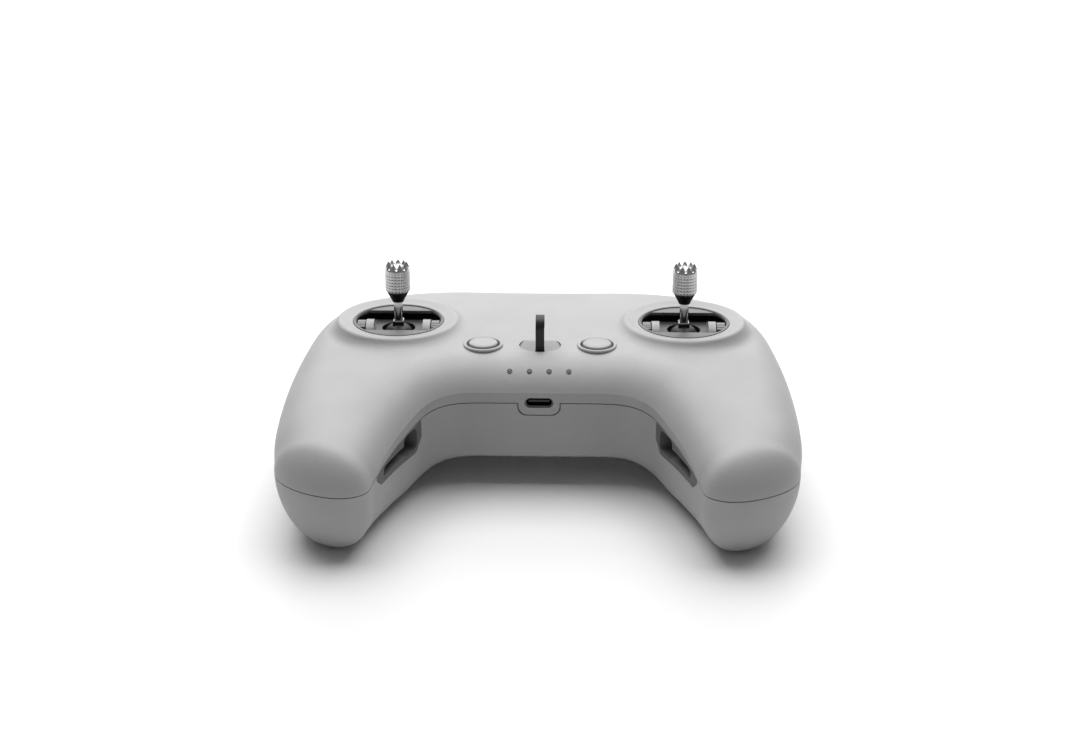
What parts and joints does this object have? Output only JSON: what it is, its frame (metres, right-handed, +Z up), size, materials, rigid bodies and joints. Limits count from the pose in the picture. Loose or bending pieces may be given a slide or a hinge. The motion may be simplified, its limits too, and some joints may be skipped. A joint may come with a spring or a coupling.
{
  "type": "radio transmitter controller",
  "caption": "Compact gamepad-style radio transmitter with two spring-centred stick gimbals, face and shoulder keys, a dial, a lanyard hook, stick storage and a USB-C port.",
  "frame": {"origin": "on the table, under the middle of the whole controller's length, width and depth", "axes": "+X to the user's right hand, +Y away from the user, +Z up; the grips rest on z = 0"},
  "size_m": [0.165, 0.1207, 0.062],
  "materials": {
    "shell_grey": "light grey, finely textured moulding",
    "insert_grey": "mid grey, satin",
    "frame_black": "black moulded nylon",
    "plate_grey": "grey, satin",
    "bearing_grey": "grey acetal",
    "knob_alloy": "knurled, bead blasted",
    "shaft_steel": "polished",
    "collar_dark": "black anodised",
    "key_grey": "light grey, satin",
    "hook_black": "black, soft-touch",
    "port_steel": "plated, dark inside",
    "lens": "clear",
    "board_green": "solder mask over laminate",
    "can_steel": "tinned",
    "screw_steel": "black oxide",
    "spring_steel": "bright wire",
    "cell_wrap": "heat-shrunk sleeve",
    "nickel": "nickel plated",
    "plug_rubber": "grey, soft",
    "magnet": "plated"
  },
  "bodies": {
    "case": {"left_gimbal_frame": "frame_black", "left_face_plate": "plate_grey", "left_trim_ring": "plate_grey", "left_bearings": "bearing_grey", "left_centring_springs": "spring_steel", "left_hall_board": "board_green", "left_storage_insert": "insert_grey", "right_gimbal_frame": "frame_black", "right_face_plate": "plate_grey", "right_trim_ring": "plate_grey", "right_bearings": "bearing_grey", "right_centring_springs": "spring_steel", "right_hall_board": "board_green", "right_storage_insert": "insert_grey", "top_shell": "shell_grey", "bottom_shell": "shell_grey", "lanyard_hook": "hook_black", "usb_port": "port_steel", "light_pipes": "lens", "dial_bracket": "frame_black", "case_screws": "screw_steel", "access_plugs": "plug_rubber", "main_board": "board_green", "board_chips": "can_steel", "tact_switches": "frame_black", "battery_cell": "cell_wrap", "battery_cradle": "frame_black", "battery_contacts": "nickel", "antennas": "board_green"},
    "left_pitch_cradle": {"left_cradle": "frame_black", "left_magnets": "magnet"},
    "left_stick": {"left_stick_post": "frame_black", "left_stick_shaft": "shaft_steel", "left_taper_collar": "collar_dark", "left_stick_knob": "knob_alloy"},
    "right_pitch_cradle": {"right_cradle": "frame_black", "right_magnets": "magnet"},
    "right_stick": {"right_stick_post": "frame_black", "right_stick_shaft": "shaft_steel", "right_taper_collar": "collar_dark", "right_stick_knob": "knob_alloy"},
    "power_key": {"power_button": "key_grey"},
    "custom_key": {"custom_button": "key_grey"},
    "dial": {"gimbal_dial": "frame_black"},
    "pause_key": {"pause_button": "key_grey"},
    "shutter_key": {"shutter_button": "key_grey"},
    "mode_switch": {"mode_slider": "key_grey"}
  },
  "joints": [
    {"name": "left_stick_pitch", "type": "hinge", "parent": "case", "child": "left_pitch_cradle", "pos_m": [-0.0473, 0.02619, 0.03562], "axis": [1, 0, 0], "range_deg": [-25, 25], "stiffness_Nm_per_rad": 0.02},
    {"name": "left_stick_roll", "type": "hinge", "parent": "left_pitch_cradle", "child": "left_stick", "pos_m": [-0.0473, 0.02619, 0.03562], "axis": [0, 0.9962, -0.0872], "range_deg": [-25, 25], "stiffness_Nm_per_rad": 0.02},
    {"name": "right_stick_pitch", "type": "hinge", "parent": "case", "child": "right_pitch_cradle", "pos_m": [0.0473, 0.02619, 0.03562], "axis": [1, 0, 0], "range_deg": [-25, 25], "stiffness_Nm_per_rad": 0.02},
    {"name": "right_stick_roll", "type": "hinge", "parent": "right_pitch_cradle", "child": "right_stick", "pos_m": [0.0473, 0.02619, 0.03562], "axis": [0, 0.9962, -0.0872], "range_deg": [-25, 25], "stiffness_Nm_per_rad": 0.02},
    {"name": "power_press", "type": "slide", "parent": "case", "child": "power_key", "axis": [0, -0.0872, -0.9962], "range_m": [0, 0.0007], "stiffness_N_per_m": 900},
    {"name": "custom_press", "type": "slide", "parent": "case", "child": "custom_key", "axis": [0, -0.0872, -0.9962], "range_m": [0, 0.0007], "stiffness_N_per_m": 900},
    {"name": "pause_press", "type": "slide", "parent": "case", "child": "pause_key", "axis": [0.0821, -0.9966, 0], "range_m": [0, 0.0008], "stiffness_N_per_m": 900},
    {"name": "shutter_press", "type": "slide", "parent": "case", "child": "shutter_key", "axis": [-0.0821, -0.9966, 0], "range_m": [0, 0.0008], "stiffness_N_per_m": 900},
    {"name": "dial_turn", "type": "hinge", "parent": "case", "child": "dial", "pos_m": [-0.04829, 0.05293, 0.032], "axis": [0, 0, 1], "range_deg": [-30, 30], "stiffness_Nm_per_rad": 0.01},
    {"name": "mode_slide", "type": "slide", "parent": "case", "child": "mode_switch", "axis": [0.9281, -0.3724, 0], "range_m": [-0.003, 0.003]}
  ]
}
